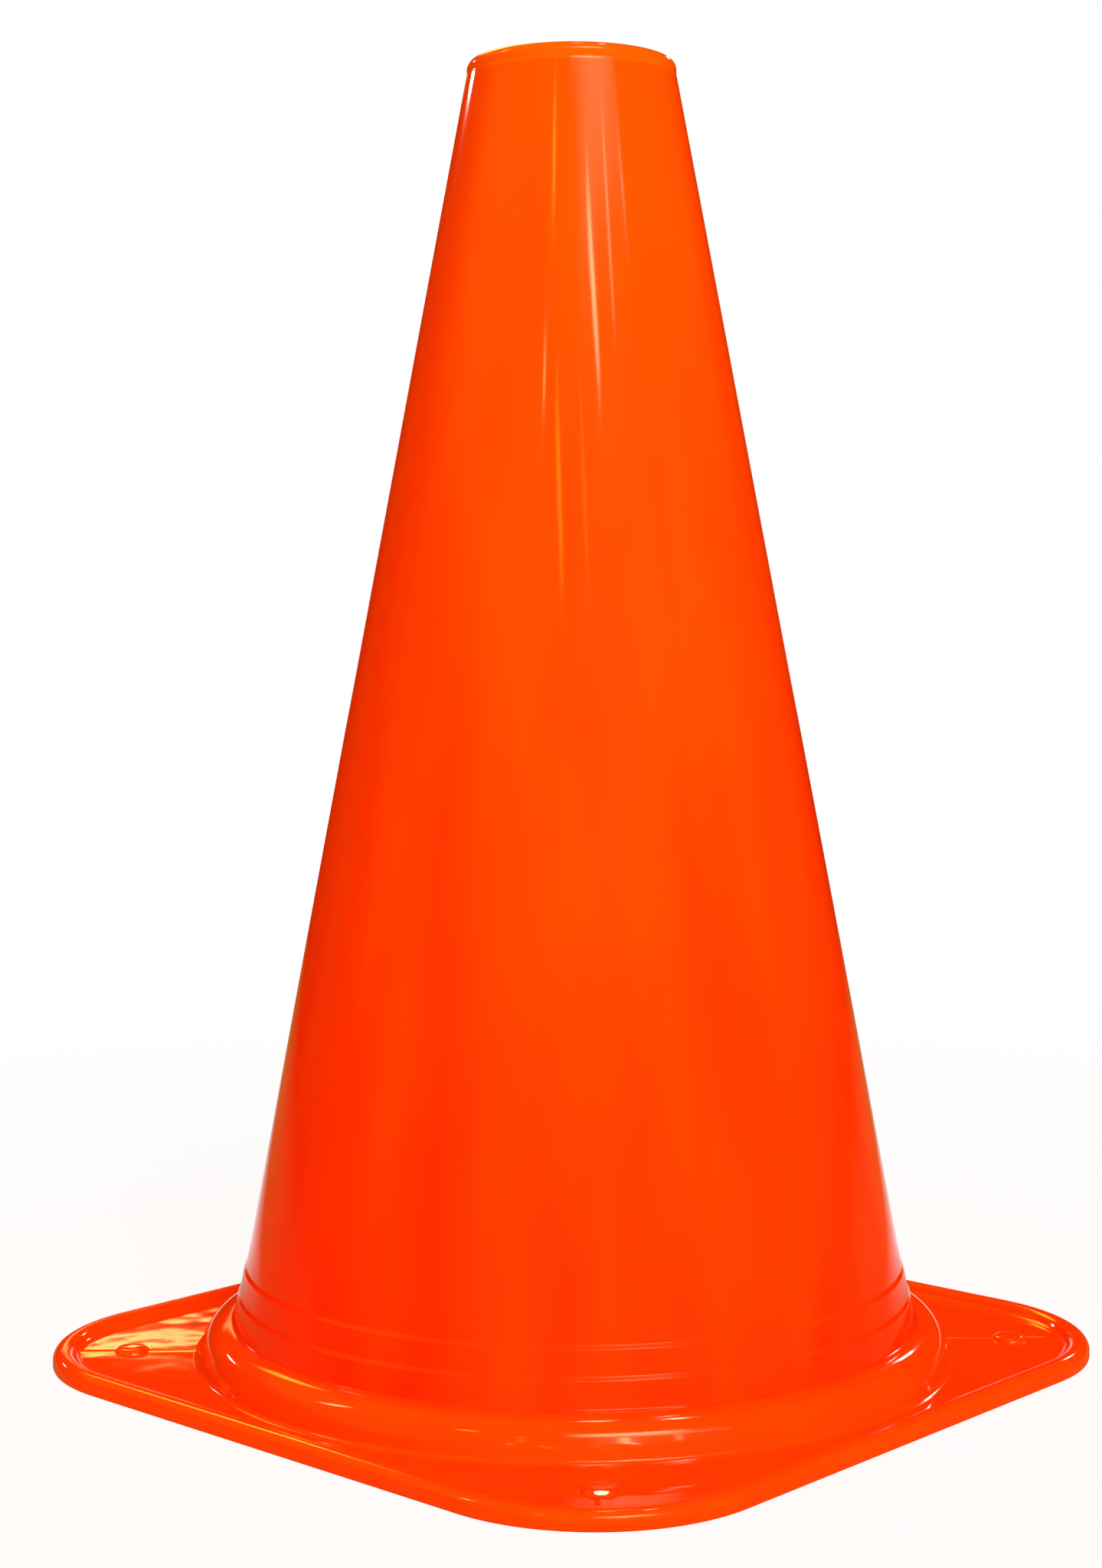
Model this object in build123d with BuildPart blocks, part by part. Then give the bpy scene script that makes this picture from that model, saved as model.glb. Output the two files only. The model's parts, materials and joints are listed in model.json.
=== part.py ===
"""Sports marker cone: a tapered shell with a stepped foot, a bead, and a square flange with a raised rim.

Sizes are in millimetres. The axis is Z, the ground is z = 0, and the flange sides lie along X and Y.
"""
import os
from math import cos, hypot, radians, sin, sqrt, tan

from build123d import *

# Overall sizes
height = 230.0
base_side = 150.0
base_corner = 31.0
wall = 1.6

# Square flange with its raised rim
floor_thickness = 1.6
rim_height = 3.2
rim_width = 3.7
rim_lean = 37.0
rim_outer_round = 1.8
rim_inner_round = 1.6
rim_foot_round = 1.4
rim_ground_round = 0.5

# Bead round the foot of the cone, and the flat strip beside it at the middle of each side
side_strip = 1.7
bead_foot_round = 1.1
bead_width = 6.0
bead_top = 8.2
bead_round = 4.6
bead_lean = 22.0

# Two stepped bands above the bead
step = 0.3
ledge_height = 0.5
ledge_round = 0.2
lower_band_height = 5.2
upper_band_height = 4.7

# Top lip with the hole for a training pole
top_radius = 17.9
lip_depth = 3.0
lip_flare = 0.6
lip_round = 1.6
pole_hole_radius = 13.0
pole_hole_round = 0.5

# Rib and round boss on each corner of the flange
rib_width = 1.7
rib_height = 0.3
boss_diameter = 6.2
boss_height = 0.8
boss_round = 0.4
boss_offset = 1.2

# Radii from the rim inwards, and the levels where the section of the shell changes
rim_foot = rim_width + rim_foot_round
foot_radius = base_side / 2 - rim_foot - side_strip
bead_radius = foot_radius - bead_foot_round
crease_radius = bead_radius - bead_width
lower_band_top = bead_top + lower_band_height
upper_band_top = lower_band_top + upper_band_height
lip_bottom = height - lip_depth

# Slope of the wall, in millimetres outwards for each millimetre down, and the wall measured level
taper = (crease_radius - 2 * step - top_radius) / (height - bead_top)
level_wall = wall * hypot(1, taper)

# A diagonal of the flange, from the foot of the bead to the foot of the rim
corner_reach = sqrt(2) * (base_side / 2 - base_corner) + base_corner - rim_foot
rib_middle = (foot_radius + corner_reach) / 2
boss_distance = rib_middle + boss_offset


def outside(z, steps=0):
    """Outside radius of the tapered wall at a height, with that many ledges above it."""
    return top_radius + taper * (height - z) + steps * step


def inside(z):
    """Inside radius of the tapered wall at a height, which runs straight past the ledges."""
    return outside(z) - level_wall


# Top lip: a flat ring with an upright side, a rounded shoulder and the pole hole through its middle
upright_from = lip_bottom + lip_flare
lip_radius = outside(upright_from)
with BuildPart() as top_lip:
    with BuildSketch(Plane.XZ) as lip_section:
        with BuildLine():
            Polyline(
                (pole_hole_radius, lip_bottom),
                (outside(lip_bottom), lip_bottom),
                (lip_radius, upright_from),
                (lip_radius, height),
                (pole_hole_radius, height),
                close=True,
            )
        make_face()
        shoulder = lip_section.vertices().sort_by_distance((lip_radius, height))[0]
        fillet(shoulder, min(lip_round, 0.9 * (lip_depth - lip_flare)))
        hole_mouth = lip_section.vertices().sort_by_distance((pole_hole_radius, height))[0]
        fillet(hole_mouth, min(pole_hole_round, 0.5 * lip_depth))
    revolve(axis=Axis.Z)
top_lip.part.label = "top_lip"

# Cone wall: the plain tapered shell
with BuildPart() as cone_wall:
    with BuildSketch(Plane.XZ):
        with BuildLine():
            Polyline(
                (inside(upper_band_top), upper_band_top),
                (outside(upper_band_top), upper_band_top),
                (outside(lip_bottom), lip_bottom),
                (inside(lip_bottom), lip_bottom),
                close=True,
            )
        make_face()
    revolve(axis=Axis.Z)
cone_wall.part.label = "cone_wall"


def step_band(top, bottom, steps):
    """Thickened ring of the shell with a sloped ledge round its top."""
    ledge_foot = top - ledge_height
    with BuildPart() as band:
        with BuildSketch(Plane.XZ) as band_section:
            with BuildLine():
                Polyline(
                    (inside(bottom), bottom),
                    (outside(bottom, steps), bottom),
                    (outside(ledge_foot, steps), ledge_foot),
                    (outside(top, steps - 1), top),
                    (inside(top), top),
                    close=True,
                )
            make_face()
            nose = band_section.vertices().sort_by_distance((outside(ledge_foot, steps), ledge_foot))[0]
            fillet(nose, min(ledge_round, ledge_height))
        revolve(axis=Axis.Z)
    return band


upper_step_band = step_band(upper_band_top, lower_band_top, 1)
upper_step_band.part.label = "upper_step_band"
lower_step_band = step_band(lower_band_top, bead_top, 2)
lower_step_band.part.label = "lower_step_band"


def leaning_side(foot_out, foot_level, foot_round, top_level, top_round, lean):
    """Foot of a leaning side, where it leaves its hollow round, and the middle of the round at its top."""
    foot = (foot_out - foot_round * cos(lean), foot_level + foot_round * (1 - sin(lean)))
    middle_level = top_level - top_round
    middle_out = foot[0] - (top_round + (middle_level - foot[1]) * sin(lean)) / cos(lean)
    return foot, (middle_out, middle_level)


# Foot bead: a hollow ring with a round crown and a leaning side that runs out in a small hollow round
lean = radians(bead_lean)
bead_rise = bead_top - floor_thickness
side_foot_out = foot_radius - bead_foot_round * cos(lean)
side_rise = bead_rise - bead_foot_round * (1 - sin(lean))
crown_room = ((side_foot_out - crease_radius) * cos(lean) - side_rise * sin(lean)) / (1 - sin(lean))
crown_round = min(bead_round, crown_room, 0.95 * side_rise / (1 - sin(lean)))
side_foot, crown_centre = leaning_side(
    foot_radius, floor_thickness, bead_foot_round, bead_top, crown_round, lean
)
with BuildPart() as foot_bead:
    with BuildSketch(Plane.XZ):
        with BuildLine():
            crown = CenterArc(crown_centre, crown_round, 90, bead_lean - 90)
            foot = CenterArc(
                (foot_radius, floor_thickness + bead_foot_round), bead_foot_round, 180 + bead_lean, 90 - bead_lean
            )
            hollow = CenterArc(crown_centre, crown_round - wall, bead_lean, 90 - bead_lean)
            hollow_foot = (hollow @ 0).X + (hollow @ 0).Y * tan(lean)
            Line(crown @ 1, foot @ 0)
            Polyline(foot @ 1, (foot_radius, 0), (hollow_foot, 0), hollow @ 0)
            Polyline(hollow @ 1, (inside(bead_top), bead_top - wall), (inside(bead_top), bead_top), crown @ 0)
        make_face()
    revolve(axis=Axis.Z)
foot_bead.part.label = "foot_bead"

# Base floor: the flat square plate inside the rim, open under the cone
floor_side = base_side - 2 * rim_foot
with BuildPart() as base_floor:
    with BuildSketch():
        RectangleRounded(floor_side, floor_side, base_corner - rim_foot)
        Circle(foot_radius, mode=Mode.SUBTRACT)
    extrude(amount=floor_thickness)
base_floor.part.label = "base_floor"

# Base rim: a rounded section with a leaning inner side, swept round one corner and mirrored
slope = radians(rim_lean)
rim_rise = rim_height - floor_thickness
outer_round = min(rim_outer_round, rim_width / 2)
foot_round = min(rim_foot_round, 0.45 * rim_rise / (1 - sin(slope)))
inner_round = min(rim_inner_round, 0.95 * rim_rise / (1 - sin(slope)) - foot_round)
rim_side_foot, crest_centre = leaning_side(
    rim_foot, floor_thickness, foot_round, rim_height, inner_round, slope
)
half_side = base_side / 2
with BuildPart() as base_rim:
    with BuildLine() as rim_path:
        FilletPolyline((half_side, 0), (half_side, half_side), (0, half_side), radius=base_corner)
    with BuildSketch(Plane(origin=(half_side, 0, 0), x_dir=(-1, 0, 0), z_dir=(0, 1, 0))):
        with BuildLine():
            ground = CenterArc((rim_ground_round, rim_ground_round), rim_ground_round, 180, 90)
            foot = CenterArc((rim_foot, floor_thickness + foot_round), foot_round, 270, rim_lean - 90)
            inner = CenterArc(crest_centre, inner_round, rim_lean, 90 - rim_lean)
            outer = CenterArc((outer_round, rim_height - outer_round), outer_round, 90, 90)
            Polyline(ground @ 1, (rim_foot, 0), foot @ 0)
            Line(foot @ 1, inner @ 0)
            Line(inner @ 1, outer @ 0)
            Line(outer @ 1, ground @ 0)
        make_face()
    sweep(path=rim_path.wire())
    mirror(about=Plane.YZ)
    mirror(about=Plane.XZ)
base_rim.part.label = "base_rim"


def corner_rib(turn):
    """Rib along one diagonal of the flange with a round boss on it, cut to meet the bead and the rim."""
    diagonal = Plane.XY.offset(floor_thickness).rotated((0, 0, turn))
    rib_length = corner_reach - foot_radius + bead_foot_round + rim_foot_round
    with BuildPart() as rib:
        with BuildSketch(diagonal):
            with Locations((boss_distance, 0)):
                Circle(boss_diameter / 2)
        extrude(amount=boss_height)
        fillet(rib.faces().sort_by(Axis.Z)[-1].edges(), min(boss_round, 0.5 * boss_height))
        with BuildSketch(diagonal):
            with Locations((rib_middle, 0)):
                Rectangle(rib_length, rib_width)
        extrude(amount=rib_height)
        add(foot_bead.part, mode=Mode.SUBTRACT)
        add(base_rim.part, mode=Mode.SUBTRACT)
    return rib


# One rib on each diagonal, named as seen from the front, which is the side at -Y
corners = {
    "corner_rib_back_right": 45,
    "corner_rib_back_left": 135,
    "corner_rib_front_left": 225,
    "corner_rib_front_right": 315,
}
corner_ribs = []
for corner_name, turn in corners.items():
    rib = corner_rib(turn)
    rib.part.label = corner_name
    corner_ribs.append(rib)

# One STEP file for each piece
os.makedirs("parts", exist_ok=True)
pieces = [top_lip, cone_wall, upper_step_band, lower_step_band, foot_bead, base_floor, base_rim]
for piece in pieces + corner_ribs:
    export_step(piece.part, f"parts/{piece.part.label}.step")
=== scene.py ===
"""Sports marker cone: one glossy orange moulding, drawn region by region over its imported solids.

Lengths are in metres. The axis is Z, the ground is z = 0, and the sides of the base lie along X and Y.
"""
import json
import math

import bpy
from mathutils import Matrix, Vector


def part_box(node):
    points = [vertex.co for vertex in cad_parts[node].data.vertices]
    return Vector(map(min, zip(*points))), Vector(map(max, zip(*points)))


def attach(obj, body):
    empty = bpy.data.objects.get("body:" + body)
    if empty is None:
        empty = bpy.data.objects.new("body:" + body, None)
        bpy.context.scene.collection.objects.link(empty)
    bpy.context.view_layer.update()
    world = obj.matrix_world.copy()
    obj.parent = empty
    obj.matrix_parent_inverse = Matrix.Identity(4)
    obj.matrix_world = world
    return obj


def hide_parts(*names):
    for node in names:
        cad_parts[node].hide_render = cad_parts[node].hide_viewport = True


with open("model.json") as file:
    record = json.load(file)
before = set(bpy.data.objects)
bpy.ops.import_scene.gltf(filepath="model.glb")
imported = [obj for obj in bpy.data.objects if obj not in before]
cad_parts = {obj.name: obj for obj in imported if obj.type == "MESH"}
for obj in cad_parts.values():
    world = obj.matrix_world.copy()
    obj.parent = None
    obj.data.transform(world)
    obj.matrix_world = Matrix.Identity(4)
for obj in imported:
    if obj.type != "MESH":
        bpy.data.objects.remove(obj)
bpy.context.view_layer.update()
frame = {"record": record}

MM = 0.001

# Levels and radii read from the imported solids, each box given as its lowest and its highest corner
lip_low, lip_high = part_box("top_lip")
wall_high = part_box("cone_wall")[1]
upper_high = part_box("upper_step_band")[1]
lower_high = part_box("lower_step_band")[1]
bead_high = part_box("foot_bead")[1]
floor_low, floor_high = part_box("base_floor")
rim_low, rim_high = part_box("base_rim")

height = lip_high.z
lip_bottom = lip_low.z
upper_band_top = upper_high.z
lower_band_top = lower_high.z
bead_top = bead_high.z
floor_level = floor_high.z
rim_height = rim_high.z
foot_radius = bead_high.x
base_side = rim_high.x - rim_low.x
floor_side = floor_high.x - floor_low.x
pole_hole_radius = frame["record"]["mounts"][0]["dims"]["r_mm"] * MM

# Slope of the wall, outwards for each unit down
taper = (wall_high.x - lip_high.x) / (lip_bottom - upper_band_top)

# Sizes of the moulding that the boxes don't give
wall = 1.6 * MM
level_wall = wall * math.hypot(1, taper)
base_corner = 31.0 * MM
bead_foot_round = 1.1 * MM
bead_round = 4.6 * MM
bead_slope = math.radians(68)
bead_belly = 0.22 * MM
bead_belly_round = 9.0 * MM
bead_belly_share = 0.38
bead_hollow_inset = 1.25 * wall
bead_crown_inset = 0.6 * wall
step = 0.3 * MM
ledge_height = 0.74 * MM
lip_round = 1.6 * MM
lip_side = 18.36 * MM
lip_flare = 0.5 * MM
lip_flare_round = 2.0 * MM
pole_hole_round = 0.5 * MM
rim_foot = (base_side - floor_side) / 2
rim_crest = 3.2 * MM
rim_slope_foot = 4.4 * MM
rim_outer_round = 1.8 * MM
rim_inner_round = 1.6 * MM
rim_foot_round = 1.4 * MM
rim_ground_round = 0.5 * MM
rib_width = 3.0 * MM
rib_height = 0.17 * MM
boss_radius = 3.1 * MM
boss_height = 0.88 * MM
boss_offset = 1.2 * MM

# Small rounds that a mould leaves along each ledge and in each crease
ledge_nose_round = 0.12 * MM
ledge_root_round = 0.12 * MM
ledge_root_drop = 0.08 * MM
crease_round = 0.35 * MM
under_lip_round = 1.0 * MM

# How far a rib runs in under the bead and the rim
rib_overlap = 1.0 * MM

# How finely the pieces are divided
TURN_SEGMENTS = 256
RIM_COLUMNS = 512
CORNER_STEPS = 48
ARC_STEP = math.radians(6)
FEWEST_ARC_STEPS = 3
LONGEST_RUN = 5 * MM
SUPPORT = 0.12 * MM
TINY = 0.0005 * MM
SHARP_ANGLE = math.radians(32)

# The floor's section is drawn from 0 at its hole to 1 at its edge, so its runs are divided in shares
FLOOR_RUN_SHARE = 0.1


def outside(z, steps=0):
    """Outside radius of the tapered wall at a height, with that many ledges above it."""
    return lip_high.x + taper * (lip_bottom - z) + steps * step


def inside(z):
    """Inside radius of the tapered wall at a height."""
    return outside(z) - level_wall


# Sections: lists of corners, each (outwards, height, round), taken anticlockwise
def rounded_corner(before, corner, after, size):
    """Points of the arc that rounds one corner of a section."""
    to_before = (before - corner).normalized()
    to_after = (after - corner).normalized()
    half = to_before.angle(to_after) / 2
    start = corner + to_before * size / math.tan(half)
    centre = corner + (to_before + to_after).normalized() * size / math.sin(half)
    turn = math.pi - 2 * half
    if to_before.cross(to_after) > 0:
        turn = -turn
    steps = max(FEWEST_ARC_STEPS, math.ceil(abs(turn) / ARC_STEP))
    spoke = start - centre
    return [centre + Matrix.Rotation(turn * count / steps, 2) @ spoke for count in range(steps + 1)]


def divided_run(start, end, longest):
    """Points inside a straight run: one close to each end to hold the shading, and even steps between."""
    length = (end - start).length
    if length < 4 * SUPPORT:
        return []
    along = (end - start) / length
    first = start + along * SUPPORT
    span = length - 2 * SUPPORT
    steps = max(1, math.ceil(span / longest))
    return [first + along * span * count / steps for count in range(steps + 1)]


def section(corners, longest=LONGEST_RUN):
    """Closed section as points, with its corners rounded and its straight runs divided."""
    places = [Vector(corner[:2]) for corner in corners]
    rounds = [corner[2] for corner in corners]
    outline = []
    for count, (corner, size) in enumerate(zip(places, rounds)):
        after = places[(count + 1) % len(places)]
        if size:
            outline += rounded_corner(places[count - 1], corner, after, size)
        else:
            outline.append(corner)
    points = []
    for count, point in enumerate(outline):
        after = outline[(count + 1) % len(outline)]
        if (after - point).length < TINY:
            continue
        points.append(point)
        points += divided_run(point, after, longest)
    return points


def section_object(name, points):
    """Object whose mesh holds the points of a section, outwards along X and up along Z."""
    mesh = bpy.data.meshes.new(name)
    mesh.from_pydata([(point.x, 0, point.y) for point in points], [], [])
    piece = bpy.data.objects.new(name, mesh)
    bpy.context.scene.collection.objects.link(piece)
    return piece


# Small helpers for writing node trees
def add_node(tree, kind, inputs=None, **settings):
    """Adds one node with its settings, and links or sets the inputs named."""
    made = tree.nodes.new(kind)
    for name, value in settings.items():
        setattr(made, name, value)
    for key, value in (inputs or {}).items():
        if isinstance(value, bpy.types.NodeSocket):
            tree.links.new(value, made.inputs[key])
        else:
            made.inputs[key].default_value = value
    return made


def maths(tree, operation, *terms):
    """One Math node, as its result."""
    return add_node(tree, "ShaderNodeMath", dict(enumerate(terms)), operation=operation).outputs[0]


def vectors(tree, operation, *terms):
    """One Vector Math node, as the node's outputs."""
    return add_node(tree, "ShaderNodeVectorMath", dict(enumerate(terms)), operation=operation).outputs


def dot_product(tree, first, second):
    """How far one vector runs along another."""
    return vectors(tree, "DOT_PRODUCT", first, second)["Value"]


def distance(tree, x, y):
    """How far a point that far along X and Y is from the middle."""
    return maths(tree, "SQRT", maths(tree, "MULTIPLY_ADD", x, x, maths(tree, "MULTIPLY", y, y)))


def ranged(tree, value, low, high, start, end):
    """A value carried from one range to another, held at the ends."""
    return add_node(
        tree, "ShaderNodeMapRange",
        {"Value": value, "From Min": low, "From Max": high, "To Min": start, "To Max": end},
    ).outputs["Result"]


def joined(tree, x=0.0, y=0.0, z=0.0):
    """A vector from its three numbers."""
    return add_node(tree, "ShaderNodeCombineXYZ", {"X": x, "Y": y, "Z": z}).outputs["Vector"]


def split(tree, vector):
    """The three numbers of a vector."""
    return add_node(tree, "ShaderNodeSeparateXYZ", {"Vector": vector}).outputs


def mixed(tree, share, first, second):
    """Two colours mixed."""
    made = tree.nodes.new("ShaderNodeMix")
    made.data_type = "RGBA"
    colours = [socket for socket in made.inputs if socket.type == "RGBA"]
    for socket, colour in zip([made.inputs[0]] + colours, (share, first, second)):
        if isinstance(colour, bpy.types.NodeSocket):
            tree.links.new(colour, socket)
        else:
            socket.default_value = colour
    return [socket for socket in made.outputs if socket.type == "RGBA"][0]


def shape_tree(name, lengths, counts=()):
    """Empty shape tree with a named input for each length and count, as (tree, its inputs, its output)."""
    tree = bpy.data.node_groups.new(name, "GeometryNodeTree")
    tree.interface.new_socket("Geometry", in_out="INPUT", socket_type="NodeSocketGeometry")
    tree.interface.new_socket("Geometry", in_out="OUTPUT", socket_type="NodeSocketGeometry")
    for label in lengths:
        tree.interface.new_socket(label, in_out="INPUT", socket_type="NodeSocketFloat")
    for label in counts:
        tree.interface.new_socket(label, in_out="INPUT", socket_type="NodeSocketInt")
    tree.interface.new_socket("Finish", in_out="INPUT", socket_type="NodeSocketMaterial")
    given = tree.nodes.new("NodeGroupInput").outputs
    result = tree.nodes.new("NodeGroupOutput").inputs["Geometry"]
    return tree, given, result


def finish_shape(tree, given, shape, result):
    """Closes the seam of a shape, shades it smooth between its crisp edges and gives it its finish."""
    merged = add_node(tree, "GeometryNodeMergeByDistance", {"Geometry": shape, "Distance": TINY})
    smooth = add_node(tree, "GeometryNodeSetShadeSmooth", {"Geometry": merged.outputs["Geometry"]})
    bend = add_node(tree, "GeometryNodeInputMeshEdgeAngle").outputs["Unsigned Angle"]
    crisp = maths(tree, "GREATER_THAN", bend, SHARP_ANGLE)
    edged = add_node(
        tree, "GeometryNodeSetShadeSmooth",
        {"Geometry": smooth.outputs["Geometry"], "Selection": crisp, "Shade Smooth": False}, domain="EDGE",
    )
    real = add_node(tree, "GeometryNodeRealizeInstances", {"Geometry": edged.outputs["Geometry"]})
    painted = add_node(
        tree, "GeometryNodeSetMaterial",
        {"Geometry": real.outputs["Geometry"], "Material": given["Finish"]},
    )
    tree.links.new(painted.outputs["Geometry"], result)


def section_grid(tree, given, columns):
    """Grid with a row for each point of the section, as (grid, share of the way round, section's point)."""
    size = add_node(
        tree, "GeometryNodeAttributeDomainSize", {"Geometry": given["Geometry"]}, component="MESH",
    )
    count = size.outputs["Point Count"]
    rows = maths(tree, "ADD", count, 1)
    grid = add_node(
        tree, "GeometryNodeMeshGrid", {"Vertices X": maths(tree, "ADD", columns, 1), "Vertices Y": rows},
    )
    index = add_node(tree, "GeometryNodeInputIndex").outputs["Index"]
    column = maths(tree, "FLOOR", maths(tree, "DIVIDE", index, rows))
    row = maths(tree, "MODULO", maths(tree, "MODULO", index, rows), count)
    position = add_node(tree, "GeometryNodeInputPosition").outputs["Position"]
    point = add_node(
        tree, "GeometryNodeSampleIndex", {"Geometry": given["Geometry"], "Value": position, "Index": row},
        data_type="FLOAT_VECTOR", domain="POINT",
    )
    return grid.outputs["Mesh"], maths(tree, "DIVIDE", column, columns), split(tree, point.outputs["Value"])


def placed(tree, grid, x, y, z):
    """The grid with its points moved to their places."""
    moved = add_node(
        tree, "GeometryNodeSetPosition", {"Geometry": grid, "Position": joined(tree, x, y, z)},
    )
    return moved.outputs["Geometry"]


def turned_ring_tree():
    """Turns a section round the axis of the cone."""
    tree, given, result = shape_tree("turned_ring", (), ("Segments",))
    grid, share, point = section_grid(tree, given, given["Segments"])
    angle = maths(tree, "MULTIPLY", share, 2 * math.pi)
    x = maths(tree, "MULTIPLY", point["X"], maths(tree, "COSINE", angle))
    y = maths(tree, "MULTIPLY", point["X"], maths(tree, "SINE", angle))
    finish_shape(tree, given, placed(tree, grid, x, y, point["Z"]), result)
    return tree


def rounded_square(tree, given, share):
    """Point of a rounded square that share of the way round, as (its place, its direction)."""
    square = add_node(
        tree, "GeometryNodeCurvePrimitiveQuadrilateral", {"Width": given["Side"], "Height": given["Side"]},
    )
    rounded = add_node(
        tree, "GeometryNodeFilletCurve",
        {"Curve": square.outputs["Curve"], "Radius": given["Corner round"], "Count": CORNER_STEPS},
        mode="POLY",
    )
    sampled = add_node(
        tree, "GeometryNodeSampleCurve", {"Curves": rounded.outputs["Curve"], "Factor": share},
        mode="FACTOR",
    )
    return split(tree, sampled.outputs["Position"]), split(tree, sampled.outputs["Tangent"])


def rim_tree():
    """Carries a section, drawn inwards from the outer edge, round a rounded square."""
    tree, given, result = shape_tree("swept_rim", ("Side", "Corner round"), ("Columns",))
    grid, share, point = section_grid(tree, given, given["Columns"])
    edge, along = rounded_square(tree, given, share)
    x = maths(tree, "MULTIPLY_ADD", point["X"], along["Y"], edge["X"])
    y = maths(tree, "SUBTRACT", edge["Y"], maths(tree, "MULTIPLY", point["X"], along["X"]))
    finish_shape(tree, given, placed(tree, grid, x, y, point["Z"]), result)
    return tree


def floor_tree():
    """Stretches a section from a round hole, at 0, to a rounded square, at 1."""
    tree, given, result = shape_tree("floor_plate", ("Side", "Corner round", "Hole radius"), ("Columns",))
    grid, share, point = section_grid(tree, given, given["Columns"])
    edge = rounded_square(tree, given, share)[0]
    hole_share = maths(tree, "DIVIDE", given["Hole radius"], distance(tree, edge["X"], edge["Y"]))
    spread = maths(tree, "MULTIPLY_ADD", point["X"], maths(tree, "SUBTRACT", 1, hole_share), hole_share)
    x = maths(tree, "MULTIPLY", edge["X"], spread)
    y = maths(tree, "MULTIPLY", edge["Y"], spread)
    finish_shape(tree, given, placed(tree, grid, x, y, point["Z"]), result)
    return tree


# The block that a rib and its boss are raised from, sunk a little so that only they show on the floor
BLOCK_DEPTH = 0.5 * MM
BLOCK_SUNK = 0.02 * MM
BLOCK_BREADTH_IN_RADII = 2.2
BLOCK_COLUMNS = 181
BLOCK_ROWS = 73

# How the sides of the rib and the boss fall, and the flat slope on the boss's outer side
RIB_FALL = 2
BOSS_FLATNESS = 6
BOSS_FALL = 0.6
BOSS_FACE_SLOPE = math.radians(30)
BOSS_FACE_FOOT_IN_RADII = 1.1
BOSS_FACE_ROUND = 0.06 * MM


def corner_rib_tree():
    """Low rib along a diagonal of the flange, with a round boss on it, raised from a thin block."""
    lengths = (
        "Turn", "Start", "End", "Rib width", "Rib height", "Boss distance", "Boss radius", "Boss height",
        "Floor level",
    )
    tree, given, result = shape_tree("corner_rib", lengths)

    # A block whose top and underside are told apart by the sign of Z, so its own height doesn't matter
    length = maths(tree, "SUBTRACT", given["End"], given["Start"])
    middle = maths(tree, "MULTIPLY", maths(tree, "ADD", given["Start"], given["End"]), 0.5)
    breadth = maths(tree, "MULTIPLY", given["Boss radius"], BLOCK_BREADTH_IN_RADII)
    block = add_node(
        tree, "GeometryNodeMeshCube",
        {
            "Size": joined(tree, length, breadth, 2.0),
            "Vertices X": BLOCK_COLUMNS, "Vertices Y": BLOCK_ROWS, "Vertices Z": 2,
        },
    )
    spot = split(tree, add_node(tree, "GeometryNodeInputPosition").outputs["Position"])
    out = maths(tree, "ADD", spot["X"], middle)

    # Rise of the rib, which falls away to both sides of the diagonal
    rib_share = maths(tree, "DIVIDE", spot["Y"], maths(tree, "MULTIPLY", given["Rib width"], 0.5))
    rib_fall = maths(tree, "SUBTRACT", 1, maths(tree, "MULTIPLY", rib_share, rib_share))
    rib_held = maths(tree, "MAXIMUM", rib_fall, 0)
    rib_rise = maths(tree, "MULTIPLY", maths(tree, "POWER", rib_held, RIB_FALL), given["Rib height"])

    # Rise of the boss, a flat dome round its own middle with a flat slope on the side of the corner
    off = maths(tree, "SUBTRACT", out, given["Boss distance"])
    boss_reach = maths(tree, "DIVIDE", distance(tree, off, spot["Y"]), given["Boss radius"])
    boss_share = maths(tree, "POWER", boss_reach, BOSS_FLATNESS)
    boss_held = maths(tree, "MAXIMUM", maths(tree, "SUBTRACT", 1, boss_share), 0)
    dome_rise = maths(tree, "MULTIPLY", maths(tree, "POWER", boss_held, BOSS_FALL), given["Boss height"])
    face_foot = maths(tree, "MULTIPLY", given["Boss radius"], BOSS_FACE_FOOT_IN_RADII)
    to_face_foot = maths(tree, "SUBTRACT", face_foot, off)
    face_rise = maths(tree, "MULTIPLY", to_face_foot, math.tan(BOSS_FACE_SLOPE))
    boss_rise = maths(tree, "SMOOTH_MIN", dome_rise, face_rise, BOSS_FACE_ROUND)

    # The higher of the two on the top of the block, whose underside stays level inside the floor
    rise = maths(tree, "SUBTRACT", maths(tree, "MAXIMUM", rib_rise, boss_rise), BLOCK_SUNK)
    on_top = maths(tree, "GREATER_THAN", spot["Z"], 0)
    shift = maths(tree, "MULTIPLY_ADD", on_top, maths(tree, "ADD", rise, BLOCK_DEPTH), -BLOCK_DEPTH)
    level = maths(tree, "ADD", given["Floor level"], shift)
    raised = placed(tree, block.outputs["Mesh"], out, spot["Y"], level)
    turned = add_node(
        tree, "GeometryNodeTransform", {"Geometry": raised, "Rotation": joined(tree, z=given["Turn"])},
    )
    finish_shape(tree, given, turned.outputs["Geometry"], result)
    return tree


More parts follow.
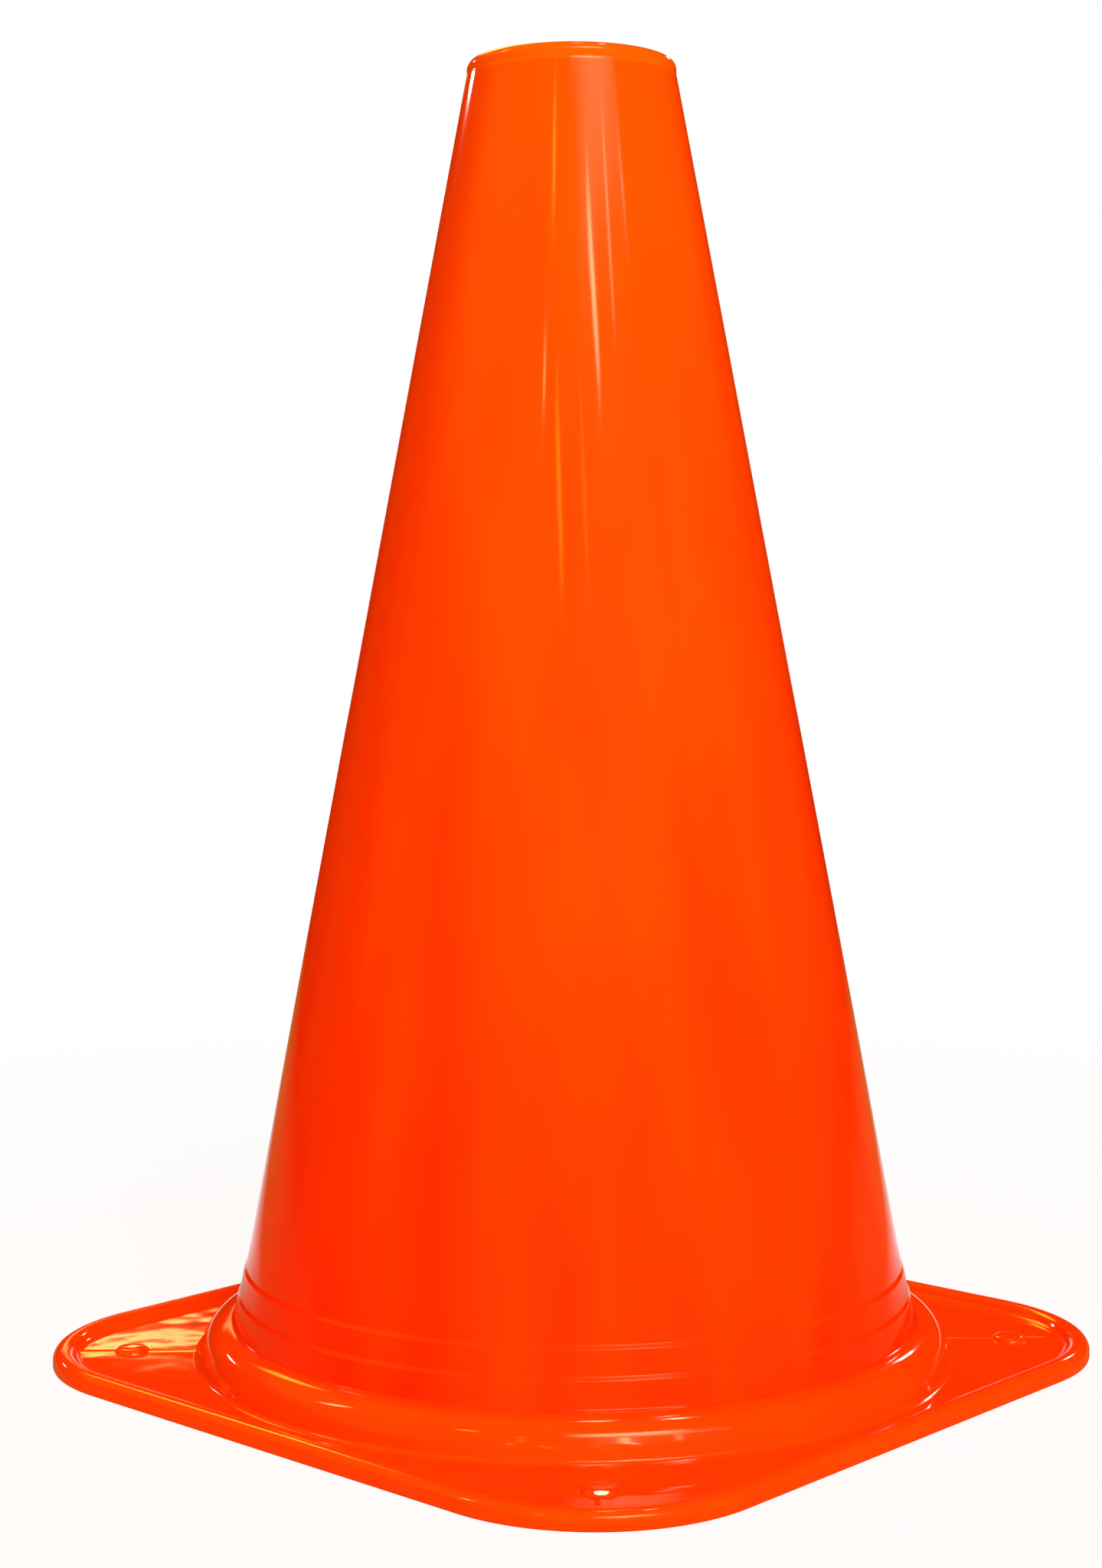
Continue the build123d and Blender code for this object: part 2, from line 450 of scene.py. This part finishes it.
def made_piece(name, points, tree, finish, **sizes):
    """Plain mesh piece from a section and a shape tree, standing for the solid of its own name."""
    draft = section_object(f"{name}_draft", points)
    shaping = draft.modifiers.new("shape", "NODES")
    shaping.node_group = tree
    sockets = [socket for socket in tree.interface.items_tree if socket.in_out == "INPUT"]
    labels = {socket.name: socket.identifier for socket in sockets}
    shaping[labels["Finish"]] = finish
    for label, value in sizes.items():
        shaping[labels[label.replace("_", " ")]] = value
    seen = draft.evaluated_get(bpy.context.evaluated_depsgraph_get())
    mesh = bpy.data.meshes.new_from_object(seen)
    draft.modifiers.remove(shaping)
    draft_mesh = draft.data
    bpy.data.objects.remove(draft)
    bpy.data.meshes.remove(draft_mesh)
    mesh.name = f"{name}_piece"
    piece = bpy.data.objects.new(f"{name}_piece", mesh)
    bpy.context.scene.collection.objects.link(piece)
    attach(piece, "root")
    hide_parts(name)


# Orange plastic: redder at the foot, yellower towards the top
TOP_ORANGE = (0.97, 0.082, 0.0, 1)
# Lighter, yellower top colour of the lip: painted sheen of its rounded shoulder
LIP_SHEEN_ORANGE = (0.97, 0.115, 0.0, 1)
WALL_FOOT_ORANGE = (0.97, 0.025, 0.0, 1)
BEAD_ORANGE = (0.97, 0.051, 0.0, 1)
FLANGE_ORANGE = (0.97, 0.047, 0.0, 1)
RIM_ORANGE = (0.97, 0.055, 0.0, 1)
SPECK_BROWN = (0.10, 0.02, 0.01, 1)
SCUFF_ORANGE = (0.95, 0.16, 0.05, 1)
GLOSS_TINT = (1.0, 0.70, 0.36, 1)
GLOSS_LEVEL = 0.45
PLASTIC_IOR = 1.5

# The range that holds most of what a noise gives
NOISE_LOW = 0.3
NOISE_HIGH = 0.7

# Pigment: how fine the clouds and the upright streaks are, how far drawn out upright, and how strong. The
# upright streaks are partly mould flow lines and partly painted shade and sheen
CLOUD_SCALE = 22.0
CLOUD_UPRIGHT = 0.35
CLOUD_SHIFT = 0.07
FLOW_AND_SHADE_SCALE = 75.0
FLOW_AND_SHADE_UPRIGHT = 0.02
FLOW_AND_SHADE_SHIFT = 0.20

# Dark specks: the share of cells that has none, and where in a cell the speck begins to fade and ends
SPECK_SCALE = 70.0
SPECK_RARITY = 0.9
SPECK_CORE = 0.012
SPECK_EDGE = 0.02
SPECK_DARKNESS = 0.7

# Fine scuffs: level lines in scattered patches, and what they do to the colour and the gloss
SCUFF_SCALE = 90.0
SCUFF_UPRIGHT = 30
SCUFF_START = 0.66
SCUFF_FULL = 0.74
PATCH_SCALE = 38.0
PATCH_START = 0.52
PATCH_FULL = 0.66
SCUFF_PALENESS = 0.25
SCUFF_DULLNESS = 0.3

# Gloss, as shares of a piece's own roughness, and the forms of the surface that are too small to model
HAZE_SCALE = 55.0
HAZE_UPRIGHT = 0.3
HAZE_LEAST = 0.8
HAZE_MOST = 1.35
WALL_RIPPLE_SCALE = 48.0
FLOOR_RIPPLE_SCALE = 105.0
RIPPLE_UPRIGHT = 0.12
PEEL_SCALE = 900.0
PEEL_DEPTH = 0.0015 * MM


def orange_plastic(
    name, foot_colour, roughness, ripple, scuff, ripple_scale=WALL_RIPPLE_SCALE, top_colour=TOP_ORANGE,
):
    """Glossy moulded plastic, with its own colours, roughness, depth of ripple and share of scuffs."""
    finish = bpy.data.materials.new(name)
    finish.use_nodes = True
    tree = finish.node_tree
    shader = tree.nodes["Principled BSDF"]
    place = add_node(tree, "ShaderNodeTexCoord").outputs["Object"]

    def noise(scale, upright=1, detail=2.0):
        """Noise on the piece's own place, drawn out upright below 1 and level above 1."""
        stretched = vectors(tree, "MULTIPLY", place, (1, 1, upright))["Vector"]
        return add_node(
            tree, "ShaderNodeTexNoise", {"Vector": stretched, "Scale": scale, "Detail": detail},
        ).outputs[0]

    def bump(depth, raised, **under):
        """Fine relief of that depth."""
        inputs = {"Strength": 1.0, "Distance": depth, "Height": raised, **under}
        return add_node(tree, "ShaderNodeBump", inputs).outputs["Normal"]

    # Colour: height, faint clouds in the pigment, upright streaks that are partly flow lines and partly
    # painted shade and sheen, sparse dark specks
    level = ranged(tree, split(tree, place)["Z"], 0.0, height, 0.0, 1.0)
    cloud_noise = noise(CLOUD_SCALE, CLOUD_UPRIGHT)
    clouds = ranged(tree, cloud_noise, NOISE_LOW, NOISE_HIGH, -CLOUD_SHIFT, CLOUD_SHIFT)
    flow_and_shade_noise = noise(FLOW_AND_SHADE_SCALE, FLOW_AND_SHADE_UPRIGHT)
    flow_and_shade = ranged(tree, flow_and_shade_noise, NOISE_LOW, NOISE_HIGH, -FLOW_AND_SHADE_SHIFT, FLOW_AND_SHADE_SHIFT)
    shade = maths(tree, "ADD", level, maths(tree, "ADD", clouds, flow_and_shade))
    colour = mixed(tree, shade, foot_colour, top_colour)
    cells = add_node(tree, "ShaderNodeTexVoronoi", {"Vector": place, "Scale": SPECK_SCALE}).outputs
    chosen = maths(tree, "GREATER_THAN", split(tree, cells["Color"])["X"], SPECK_RARITY)
    close = ranged(tree, cells["Distance"], SPECK_CORE, SPECK_EDGE, 1.0, 0.0)
    specks = maths(tree, "MULTIPLY", maths(tree, "MULTIPLY", chosen, close), SPECK_DARKNESS)
    colour = mixed(tree, specks, colour, SPECK_BROWN)

    # Fine scuffs: thin level lines in scattered patches
    lines = ranged(tree, noise(SCUFF_SCALE, SCUFF_UPRIGHT, detail=3.0), SCUFF_START, SCUFF_FULL, 0.0, 1.0)
    patches = ranged(tree, noise(PATCH_SCALE), PATCH_START, PATCH_FULL, 0.0, 1.0)
    scuffs = maths(tree, "MULTIPLY", maths(tree, "MULTIPLY", lines, patches), scuff)
    colour = mixed(tree, maths(tree, "MULTIPLY", scuffs, SCUFF_PALENESS), colour, SCUFF_ORANGE)
    tree.links.new(colour, shader.inputs["Base Color"])

    # Gloss: a little uneven, duller along the scuffs
    haze_noise = noise(HAZE_SCALE, HAZE_UPRIGHT, detail=3.0)
    haze = ranged(tree, haze_noise, NOISE_LOW, NOISE_HIGH, roughness * HAZE_LEAST, roughness * HAZE_MOST)
    rough = maths(tree, "MULTIPLY_ADD", scuffs, SCUFF_DULLNESS, haze)
    tree.links.new(rough, shader.inputs["Roughness"])

    # Surface: slow mould ripple down the wall, and a very fine peel
    rippled = bump(ripple, noise(ripple_scale, RIPPLE_UPRIGHT, detail=1.0))
    peeled = bump(PEEL_DEPTH, noise(PEEL_SCALE), Normal=rippled)
    tree.links.new(peeled, shader.inputs["Normal"])
    shader.inputs["IOR"].default_value = PLASTIC_IOR
    shader.inputs["Specular IOR Level"].default_value = GLOSS_LEVEL
    shader.inputs["Specular Tint"].default_value = GLOSS_TINT
    return finish


wall_orange = orange_plastic("wall_orange", WALL_FOOT_ORANGE, roughness=0.06, ripple=0.06 * MM, scuff=0.25)
# The lip's finish is the wall's with a lighter top colour: painted sheen on the lip
lip_sheen_orange = orange_plastic(
    "lip_sheen_orange", WALL_FOOT_ORANGE, roughness=0.06, ripple=0.06 * MM, scuff=0.25, top_colour=LIP_SHEEN_ORANGE,
)
band_orange = orange_plastic("band_orange", WALL_FOOT_ORANGE, roughness=0.065, ripple=0.02 * MM, scuff=0.5)
bead_orange = orange_plastic("bead_orange", BEAD_ORANGE, roughness=0.065, ripple=0.02 * MM, scuff=1.0)
floor_orange = orange_plastic(
    "floor_orange", FLANGE_ORANGE, roughness=0.03, ripple=0.04 * MM, scuff=0.5,
    ripple_scale=FLOOR_RIPPLE_SCALE,
)
rim_orange = orange_plastic("rim_orange", RIM_ORANGE, roughness=0.065, ripple=0.03 * MM, scuff=0.8)

# Sections of the turned pieces, from the lip down
lip_section = section([
    (outside(lip_bottom), lip_bottom, 0),
    (lip_side, lip_bottom + lip_flare, lip_flare_round),
    (lip_side, height, lip_round),
    (pole_hole_radius, height, pole_hole_round),
    (pole_hole_radius, lip_bottom, 0),
    (inside(lip_bottom) - under_lip_round, lip_bottom, 0),
])

wall_section = section([
    (outside(upper_band_top), upper_band_top, 0),
    (outside(lip_bottom), lip_bottom, 0),
    (inside(lip_bottom) - under_lip_round, lip_bottom, 0),
    (inside(lip_bottom), lip_bottom, under_lip_round),
    (inside(upper_band_top), upper_band_top, 0),
])


def band_section(top, bottom, steps, foot_flare):
    """Section of a stepped band: a soft ledge round its top and, over the bead, a flare at its foot."""
    ledge_foot = top - ledge_height
    ledge_root = top - ledge_root_drop
    foot = [(outside(bottom, steps), bottom, foot_flare)]
    if foot_flare:
        foot.insert(0, (outside(bottom, steps) + foot_flare, bottom, 0))
    return section(foot + [
        (outside(ledge_foot, steps), ledge_foot, ledge_nose_round),
        (outside(ledge_root, steps - 1), ledge_root, ledge_root_round),
        (outside(top, steps - 1), top, 0),
        (inside(top), top, 0),
        (inside(bottom), bottom, 0),
    ])


bead_foot = foot_radius - bead_foot_round * math.tan(bead_slope / 2)
bead_edge = bead_foot - (bead_top - floor_level) / math.tan(bead_slope)
hollow_side = bead_foot - bead_hollow_inset
belly_level = floor_level + bead_belly_share * (bead_top - floor_level)
belly_out = bead_foot - (belly_level - floor_level) / math.tan(bead_slope) + bead_belly
bead_section = section([
    (foot_radius, 0, 0),
    (foot_radius, floor_level, 0),
    (bead_foot, floor_level, bead_foot_round),
    (belly_out, belly_level, bead_belly_round),
    (bead_edge, bead_top, bead_round),
    (inside(bead_top), bead_top, 0),
    (inside(bead_top), bead_top - wall, 0),
    (bead_edge - bead_crown_inset, bead_top - wall, bead_round - wall),
    (hollow_side, floor_level, 0),
    (hollow_side, 0, 0),
])

ring = turned_ring_tree()
turned_pieces = {
    "top_lip": (lip_section, lip_sheen_orange),
    "cone_wall": (wall_section, wall_orange),
    "upper_step_band": (band_section(upper_band_top, lower_band_top, 1, 0), band_orange),
    "lower_step_band": (band_section(lower_band_top, bead_top, 2, crease_round), band_orange),
    "foot_bead": (bead_section, bead_orange),
}
for piece_name, (points, finish) in turned_pieces.items():
    made_piece(piece_name, points, ring, finish, Segments=TURN_SEGMENTS)

# Square flange: its floor, its rim, and a rib on each diagonal
floor_section = section(
    [(1, floor_level, 0), (0, floor_level, 0), (0, 0, 0), (1, 0, 0)], longest=FLOOR_RUN_SHARE,
)
made_piece(
    "base_floor", floor_section, floor_tree(), floor_orange, Side=floor_side,
    Corner_round=base_corner - rim_foot, Hole_radius=foot_radius, Columns=RIM_COLUMNS,
)

rim_section = section([
    (0, 0, rim_ground_round),
    (0, rim_height, rim_outer_round),
    (-rim_crest, rim_height, rim_inner_round),
    (-rim_slope_foot, floor_level, rim_foot_round),
    (-rim_foot, floor_level, 0),
    (-rim_foot, 0, 0),
])
made_piece(
    "base_rim", rim_section, rim_tree(), rim_orange, Side=base_side,
    Corner_round=base_corner, Columns=RIM_COLUMNS,
)

corner_reach = math.sqrt(2) * (base_side / 2 - base_corner) + base_corner - rim_foot
rib_middle = (foot_radius + corner_reach) / 2
rib = corner_rib_tree()
corners = {
    "corner_rib_back_right": 45,
    "corner_rib_back_left": 135,
    "corner_rib_front_left": 225,
    "corner_rib_front_right": 315,
}
for corner_name, turn in corners.items():
    made_piece(
        corner_name, [], rib, floor_orange, Turn=math.radians(turn),
        Start=foot_radius - rib_overlap, End=corner_reach + rib_overlap,
        Rib_width=rib_width, Rib_height=rib_height,
        Boss_distance=rib_middle + boss_offset, Boss_radius=boss_radius, Boss_height=boss_height,
        Floor_level=floor_level,
    )

# Camera, placed as the photograph's was: its way round in degrees, and its small tilts in radians
CAMERA_AZIMUTH = 42.13
CAMERA_DISTANCE = 0.4679
CAMERA_HEIGHT = 0.1338
CAMERA_PITCH = 0.0652
CAMERA_YAW = -0.0083
CAMERA_ROLL = -0.0023
IMAGE_HEIGHT = 2048
FOCAL_PIXELS = 3433.7
SENSOR_HEIGHT = 36.0
CLIP_NEAR = 0.01
CLIP_FAR = 50

turn_to_camera = Matrix.Rotation(math.radians(CAMERA_AZIMUTH), 3, "Z")
upright = Vector((0, 0, 1))
right = Vector((math.cos(CAMERA_YAW), -math.sin(CAMERA_YAW), 0))
ahead = Vector((math.sin(CAMERA_YAW), math.cos(CAMERA_YAW), 0))
forward = math.cos(CAMERA_PITCH) * ahead - math.sin(CAMERA_PITCH) * upright
up = math.sin(CAMERA_PITCH) * ahead + math.cos(CAMERA_PITCH) * upright
image_right = math.cos(CAMERA_ROLL) * right + math.sin(CAMERA_ROLL) * up
image_up = math.cos(CAMERA_ROLL) * up - math.sin(CAMERA_ROLL) * right

camera_data = bpy.data.cameras.new("photo_camera")
camera_data.sensor_fit = "VERTICAL"
camera_data.sensor_height = SENSOR_HEIGHT
camera_data.sensor_width = SENSOR_HEIGHT
camera_data.lens = SENSOR_HEIGHT * FOCAL_PIXELS / IMAGE_HEIGHT
camera_data.clip_start = CLIP_NEAR
camera_data.clip_end = CLIP_FAR
camera = bpy.data.objects.new("photo_camera", camera_data)
facing = turn_to_camera @ Matrix((image_right, image_up, -forward)).transposed()
camera.matrix_world = facing.to_4x4()
camera.location = turn_to_camera @ Vector((0, -CAMERA_DISTANCE, CAMERA_HEIGHT))
bpy.context.scene.collection.objects.link(camera)
bpy.context.scene.camera = camera


# Studio: soft lamps, each placed by its turn to the right of the camera and its rise above the horizon
def from_camera(turn, rise):
    """Direction that many degrees to the right of the camera, seen from the cone, and above the horizon."""
    around = math.radians(CAMERA_AZIMUTH + turn)
    level = math.cos(math.radians(rise))
    return Vector((math.sin(around) * level, -math.cos(around) * level, math.sin(math.radians(rise))))


LAMP_DISTANCE = 10.0
LAMP_AIM = Vector((0, 0, 0.5 * height))
WHITE_LAMP = (1, 1, 1)
WARM_LAMP = (1.0, 0.86, 0.50)
GOLDEN_LAMP = (1.0, 0.84, 0.26)
YELLOW_LAMP = (1.0, 0.78, 0.06)


def lamp_side(degrees):
    """Side of a lamp that looks that wide from the cone."""
    return 2 * LAMP_DISTANCE * math.tan(math.radians(degrees / 2))


def soft_lamp(name, turn, rise, wide, tall, glow, colour=WHITE_LAMP, lean=0, mirrored=True):
    """Area lamp that faces the cone and fades to its edges, its size in degrees as seen from there.

    Glow is how bright its middle is. A lamp that isn't mirrored only fills.
    """
    data = bpy.data.lights.new(name, "AREA")
    data.shape = "RECTANGLE"
    data.size = lamp_side(wide)
    data.size_y = lamp_side(tall)
    data.energy = glow * math.pi * data.size * data.size_y
    data.color = colour
    data.use_nodes = True
    fade = data.node_tree
    across = split(fade, add_node(fade, "ShaderNodeNewGeometry").outputs["Parametric"])

    def hump(share):
        """1 in the middle of a side and 0 at its ends."""
        return maths(fade, "MULTIPLY", maths(fade, "SUBTRACT", 1, share), maths(fade, "MULTIPLY", share, 4))

    strength = maths(fade, "MULTIPLY", hump(across["X"]), hump(across["Y"]))
    fade.links.new(strength, fade.nodes["Emission"].inputs["Strength"])
    lamp = bpy.data.objects.new(name, data)
    facing_cone = (-from_camera(turn, rise)).to_track_quat("-Z", "Y").to_matrix()
    lamp.rotation_euler = (facing_cone @ Matrix.Rotation(math.radians(lean), 3, "Z")).to_euler()
    lamp.location = LAMP_AIM + from_camera(turn, rise) * LAMP_DISTANCE
    lamp.visible_camera = False
    lamp.visible_glossy = mirrored
    bpy.context.scene.collection.objects.link(lamp)


# Broad light in front, and the upright streaks that the wall mirrors
soft_lamp("key_fill", turn=24, rise=36, wide=50, tall=46, glow=3.6, mirrored=False)
soft_lamp("window_low", turn=28, rise=34.5, wide=40, tall=10, glow=3.4)
soft_lamp("window_high", turn=19, rise=40.8, wide=34, tall=12.6, glow=16.0)
soft_lamp("streak_left", turn=17, rise=29, wide=2.4, tall=8.0, glow=21.0, lean=50)
soft_lamp("streak_middle", turn=32.5, rise=29.7, wide=2.2, tall=5.6, glow=9.0, lean=10)
soft_lamp("streak_right", turn=48, rise=29.5, wide=2.0, tall=3.0, glow=6.0, lean=40)
soft_lamp("narrow_streak", turn=-17, rise=31.7, wide=2.0, tall=4.4, glow=13.0, colour=YELLOW_LAMP, lean=50)
soft_lamp("spark_streak", turn=-19.8, rise=26.8, wide=1.6, tall=2.2, glow=16.0, colour=WARM_LAMP, lean=40)
soft_lamp("low_streak", turn=-8.3, rise=24.6, wide=1.8, tall=8.0, glow=9.0, colour=YELLOW_LAMP, lean=50)
soft_lamp("low_streak_right", turn=7.4, rise=24.7, wide=1.8, tall=6.6, glow=3.4, colour=YELLOW_LAMP, lean=33)

# Lights at the sides, behind and overhead, which the bead, the flange and the front boss mirror
soft_lamp("left_front", turn=-36, rise=40, wide=8, tall=5, glow=14.0, colour=YELLOW_LAMP)
soft_lamp("left_strip", turn=-95, rise=42, wide=4, tall=12, glow=30.0, colour=WARM_LAMP)
soft_lamp("back_left_spot", turn=-140, rise=19.1, wide=8, tall=0.8, glow=80.0, lean=11)
soft_lamp("back_left", turn=-170.5, rise=14.78, wide=18, tall=0.46, glow=5.0, colour=GOLDEN_LAMP)
soft_lamp("back_left_high", turn=-163, rise=36, wide=26, tall=14, glow=9.0, colour=YELLOW_LAMP)
soft_lamp("back_right_spot", turn=157, rise=24.5, wide=4.5, tall=4, glow=60.0)
soft_lamp("overhead", turn=166, rise=78.5, wide=5, tall=5, glow=36.0)
soft_lamp("overhead_right", turn=121, rise=73, wide=6, tall=4, glow=44.0)

# World: an even warm light, seen as white by the camera and, straight behind the cone, by the gloss
WHITE = (1, 1, 1, 1)
STUDIO_WARM = (0.54, 0.25, 0.13, 1)
BACK_WHITE_START = 0.976
BACK_WHITE_FULL = 0.996

# Elsewhere the gloss mirrors a room, dark at the back and lit from the front round to the right
ROOM_LIT = (0.50, 0.58, 0.05, 1)
ROOM_DARK = (0.45, 0.02, 0.0, 1)
LIT_LEFT_START = math.radians(-53)
LIT_LEFT_FULL = math.radians(-25)
LIT_RIGHT_FADE = math.radians(30)
LIT_RIGHT_END = math.radians(135)

# Higher up, the light reaches further round to the left, and above that further still
HIGH_START = 0.29
HIGH_FULL = 0.36
HIGH_SHARE = 0.8
HIGH_LEFT_START = math.radians(-112)
HIGH_LEFT_FULL = math.radians(-84)
TOP_START = 0.40
TOP_FULL = 0.60
TOP_TURN = math.radians(45)

world = bpy.data.worlds.new("studio")
world.use_nodes = True
bpy.context.scene.world = world
air = world.node_tree
ray = add_node(air, "ShaderNodeLightPath").outputs
direction = add_node(air, "ShaderNodeTexCoord").outputs["Generated"]
upwards = split(air, direction)["Z"]
to_right = dot_product(air, direction, from_camera(90, 0))
to_front = dot_product(air, direction, from_camera(0, 0))
to_back = dot_product(air, direction, from_camera(180, 0))
turned = maths(air, "ARCTAN2", to_right, to_front)

lit_left = ranged(air, turned, LIT_LEFT_START, LIT_LEFT_FULL, 0.0, 1.0)
lit_right = ranged(air, turned, LIT_RIGHT_FADE, LIT_RIGHT_END, 1.0, 0.0)
high = ranged(air, upwards, HIGH_START, HIGH_FULL, 0.0, HIGH_SHARE)
turned_high = maths(air, "ADD", turned, ranged(air, upwards, TOP_START, TOP_FULL, 0.0, TOP_TURN))
lit_high = maths(air, "MULTIPLY", high, ranged(air, turned_high, HIGH_LEFT_START, HIGH_LEFT_FULL, 0.0, 1.0))
lit = maths(air, "MULTIPLY", maths(air, "MAXIMUM", lit_left, lit_high), lit_right)
room = mixed(air, lit, ROOM_DARK, ROOM_LIT)
studio = mixed(air, ray["Is Glossy Ray"], STUDIO_WARM, room)

back_white = ranged(air, to_back, BACK_WHITE_START, BACK_WHITE_FULL, 0.0, 1.0)
mirrored_white = maths(air, "MULTIPLY", ray["Is Glossy Ray"], back_white)
looked_at = maths(air, "MAXIMUM", ray["Is Camera Ray"], ray["Is Transmission Ray"])
seen_white = maths(air, "MAXIMUM", looked_at, mirrored_white)
air.links.new(mixed(air, seen_white, studio, WHITE), air.nodes["Background"].inputs["Color"])

# Floor: pale and plain, white to the eye away from the shadow
FLOOR_RADIUS = 6.0
FLOOR_SIDES = 64
FLOOR_DROP = 0.05 * MM
FLOOR_PALE = (0.80, 0.80, 0.80, 1)
FLOOR_ROUGHNESS = 0.9
FLOOR_WHITE_NEAR = 0.90
SHADOW_NEAR = 0.10
SHADOW_FAR = 0.45

# What the gloss mirrors of it, as glow: a painted shadow and orange bounce near the cone, the room's dark
# painted on it far away, and a white strip straight behind
FLOOR_MIRRORED_SHADOW_NEAR = (0.38, 0.19, 0.04, 1)
MIRRORED_SHADOW_NEAR = 0.45
MIRRORED_SHADOW_FAR = 1.0
STRIP_START = 0.04
STRIP_FULL = 0.10
STRIP_INNER = 0.08
STRIP_OUTER = 0.16

floor_points = []
for count in range(FLOOR_SIDES):
    angle = 2 * math.pi * count / FLOOR_SIDES
    floor_points.append((FLOOR_RADIUS * math.cos(angle), FLOOR_RADIUS * math.sin(angle), 0))
floor_mesh = bpy.data.meshes.new("floor")
floor_mesh.from_pydata(floor_points, [], [list(range(FLOOR_SIDES))])
floor = bpy.data.objects.new("floor", floor_mesh)
floor.location.z = -FLOOR_DROP
bpy.context.scene.collection.objects.link(floor)

pale = bpy.data.materials.new("pale_floor")
pale.use_nodes = True
ground = pale.node_tree
matt = ground.nodes["Principled BSDF"]
matt.inputs["Base Color"].default_value = FLOOR_PALE
matt.inputs["Roughness"].default_value = FLOOR_ROUGHNESS
matt.inputs["Specular IOR Level"].default_value = 0.0
floor_ray = add_node(ground, "ShaderNodeLightPath").outputs
floor_looked_at = maths(ground, "MAXIMUM", floor_ray["Is Camera Ray"], floor_ray["Is Transmission Ray"])
floor_spot = split(ground, add_node(ground, "ShaderNodeTexCoord").outputs["Object"])
level_spot = joined(ground, floor_spot["X"], floor_spot["Y"])
away = distance(ground, floor_spot["X"], floor_spot["Y"])
backward = dot_product(ground, level_spot, from_camera(180, 0))
squared_away = maths(ground, "MULTIPLY", away, away)
squared_backward = maths(ground, "MULTIPLY", backward, backward)
aside = maths(ground, "SQRT", maths(ground, "SUBTRACT", squared_away, squared_backward))

# Painted shadow and orange bounce near the cone, fading to the room's dark further out, seen only in the
# gloss
mirrored_shadow_share = ranged(ground, away, MIRRORED_SHADOW_NEAR, MIRRORED_SHADOW_FAR, 0.0, 1.0)
painted_shadow_floor = mixed(ground, mirrored_shadow_share, FLOOR_MIRRORED_SHADOW_NEAR, ROOM_DARK)
far_enough = ranged(ground, backward, STRIP_START, STRIP_FULL, 0.0, 1.0)
near_middle = ranged(ground, aside, STRIP_INNER, STRIP_OUTER, 1.0, 0.0)
strip = maths(ground, "MULTIPLY", far_enough, near_middle)
mirrored_floor = mixed(ground, strip, painted_shadow_floor, WHITE)
floor_colour = mixed(ground, floor_looked_at, mirrored_floor, WHITE)
glow = add_node(ground, "ShaderNodeEmission", {"Color": floor_colour})
white_away = ranged(ground, away, SHADOW_NEAR, SHADOW_FAR, FLOOR_WHITE_NEAR, 1.0)
white_seen = maths(ground, "MULTIPLY", floor_looked_at, white_away)
glow_share = maths(ground, "MAXIMUM", floor_ray["Is Glossy Ray"], white_seen)
blend = add_node(
    ground, "ShaderNodeMixShader", {0: glow_share, 1: matt.outputs["BSDF"], 2: glow.outputs["Emission"]},
)
ground.links.new(blend.outputs["Shader"], ground.nodes["Material Output"].inputs["Surface"])
floor.data.materials.append(pale)

bpy.context.scene.view_settings.view_transform = "Standard"
